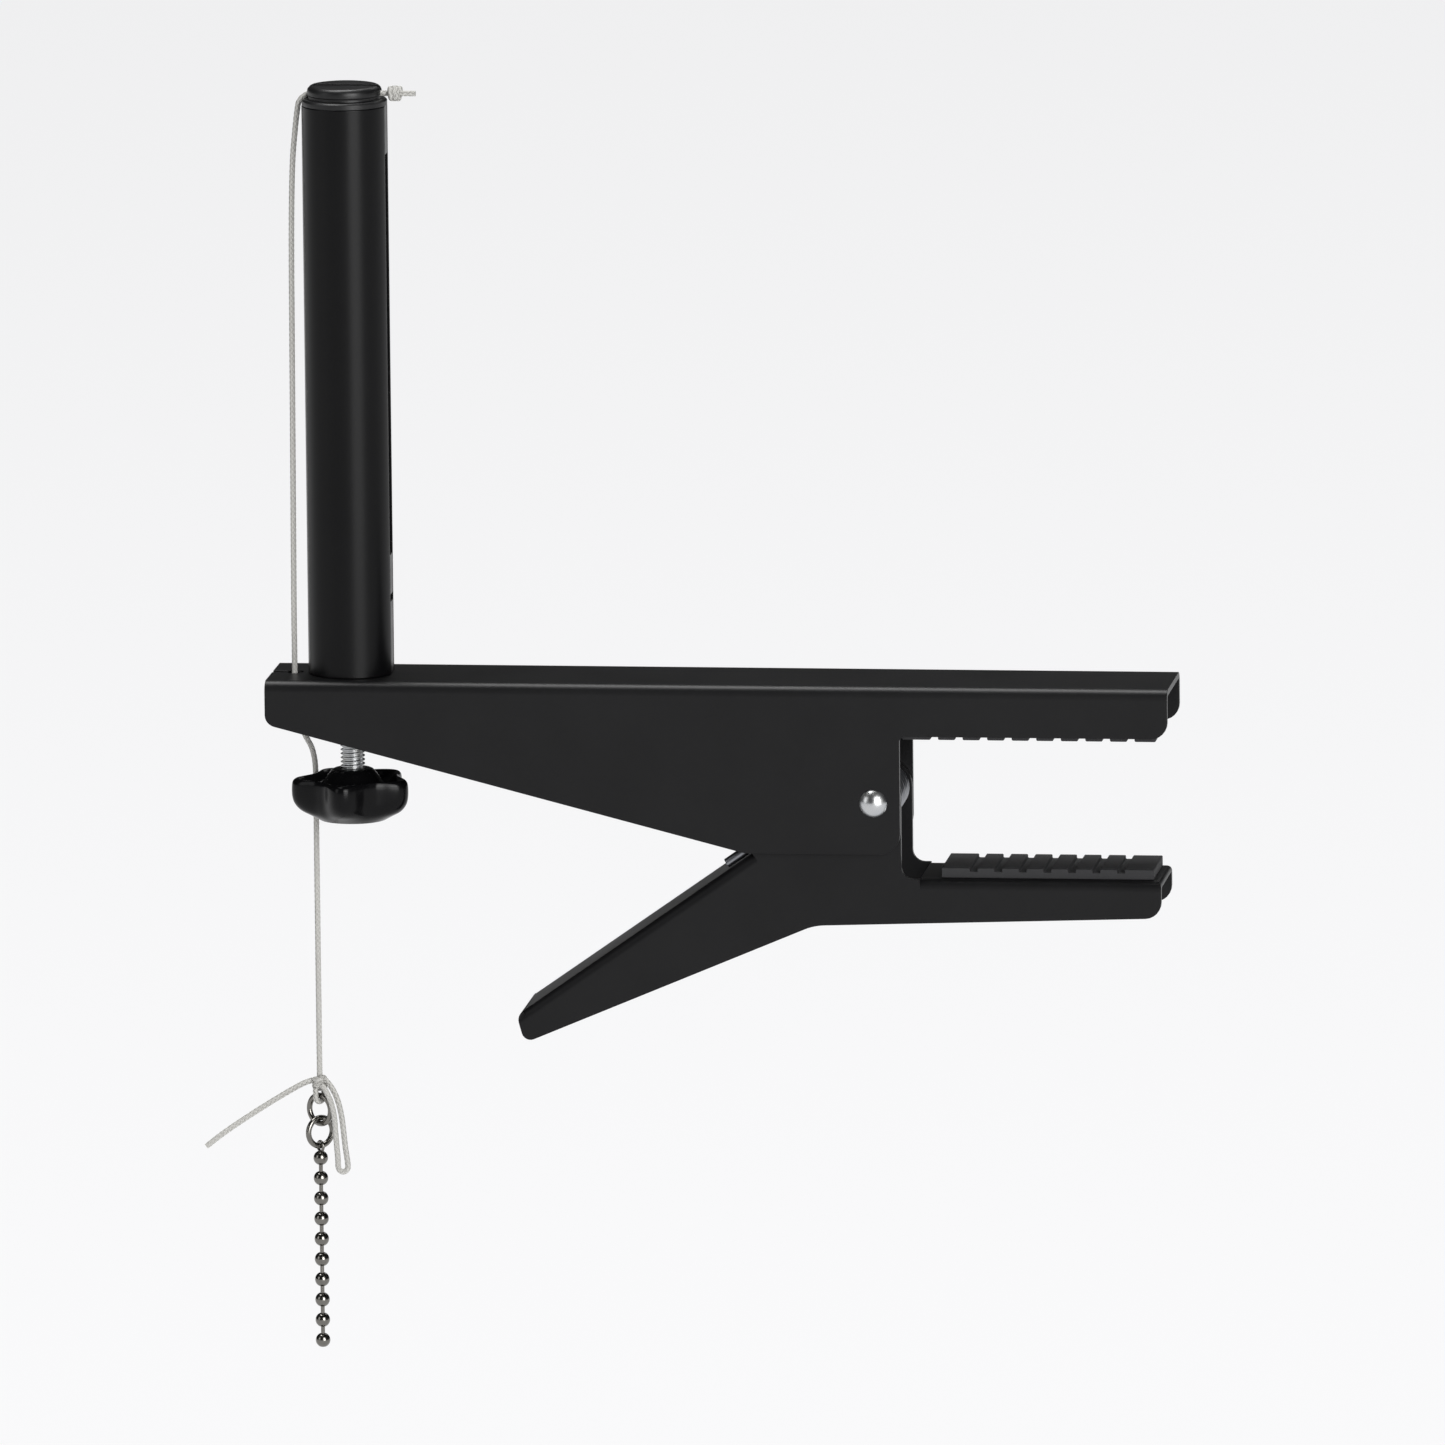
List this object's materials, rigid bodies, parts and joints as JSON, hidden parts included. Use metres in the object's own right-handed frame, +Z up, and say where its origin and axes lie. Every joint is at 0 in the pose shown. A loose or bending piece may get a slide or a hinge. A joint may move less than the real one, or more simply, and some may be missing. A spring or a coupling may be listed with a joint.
{
  "type": "table tennis net clamp",
  "caption": "Spring-clip clamp for a table tennis net: channel bracket with a hand lever, slotted net post raised by a screw and knob, tension cord and bead chain.",
  "frame": {"origin": "on the upper pad's gripping face, at the table's edge and midway across the clamp, so Z = 0 is the table's top", "axes": "+X in over the table, +Y along the table's edge, +Z up along the post"},
  "size_m": [0.241, 0.0349, 0.315],
  "materials": {
    "powder_coat": "satin black powder coat on pressed steel",
    "black_aluminium": "gloss black lacquer on extruded aluminium",
    "rubber": "matt moulded rubber",
    "black_plastic": "moulded, fine texture",
    "knob_plastic": "moulded, gloss",
    "white_plastic": "natural nylon",
    "zinc_plate": "bright zinc plate",
    "spring_steel": "drawn spring wire, oiled",
    "bronze": "plain",
    "cord": "braided polyester",
    "chain": "nickel plate"
  },
  "bodies": {
    "clamp": {"bracket": "powder_coat", "upper_pad": "rubber", "pivot_pin": "zinc_plate", "pivot_sleeve": "white_plastic", "pivot_washer": "zinc_plate", "pivot_clip": "spring_steel", "torsion_spring": "spring_steel", "post_guide": "black_plastic", "guide_screws": "zinc_plate", "hex_nut": "zinc_plate"},
    "lever": {"lever": "powder_coat", "lower_pad": "rubber"},
    "post": {"post_tube": "black_aluminium", "post_cap": "black_plastic", "thrust_plug": "black_plastic", "thrust_washer": "bronze", "net_cord": "cord", "stopper_knot": "cord", "chain_knot": "cord", "cord_tail": "cord", "cord_bow": "cord", "chain_rings": "chain", "bead_chain": "chain"},
    "knob": {"adjusting_screw": "zinc_plate", "screw_clip": "spring_steel", "knob": "knob_plastic", "knob_cover": "knob_plastic"}
  },
  "joints": [
    {"name": "lever_pivot", "type": "hinge", "parent": "clamp", "child": "lever", "pos_m": [-0.008, 0, -0.0156], "axis": [0, 1, 0], "range_deg": [-26, 30], "stiffness_Nm_per_rad": 1.6, "springref_deg": -32.66, "deforming": ["torsion_spring"]},
    {"name": "post_lift", "type": "slide", "parent": "clamp", "child": "post", "axis": [0, 0, 1], "range_m": [0, 0.008]},
    {"name": "knob_spin", "type": "hinge", "parent": "post", "child": "knob", "pos_m": [-0.1375, 0, -0.018], "axis": [0, 0, 1], "range_deg": [0, 2880]}
  ],
  "couplings": [
    {"joint": "knob_spin", "follows": "post_lift", "rad_per_m": 6283.2}
  ]
}
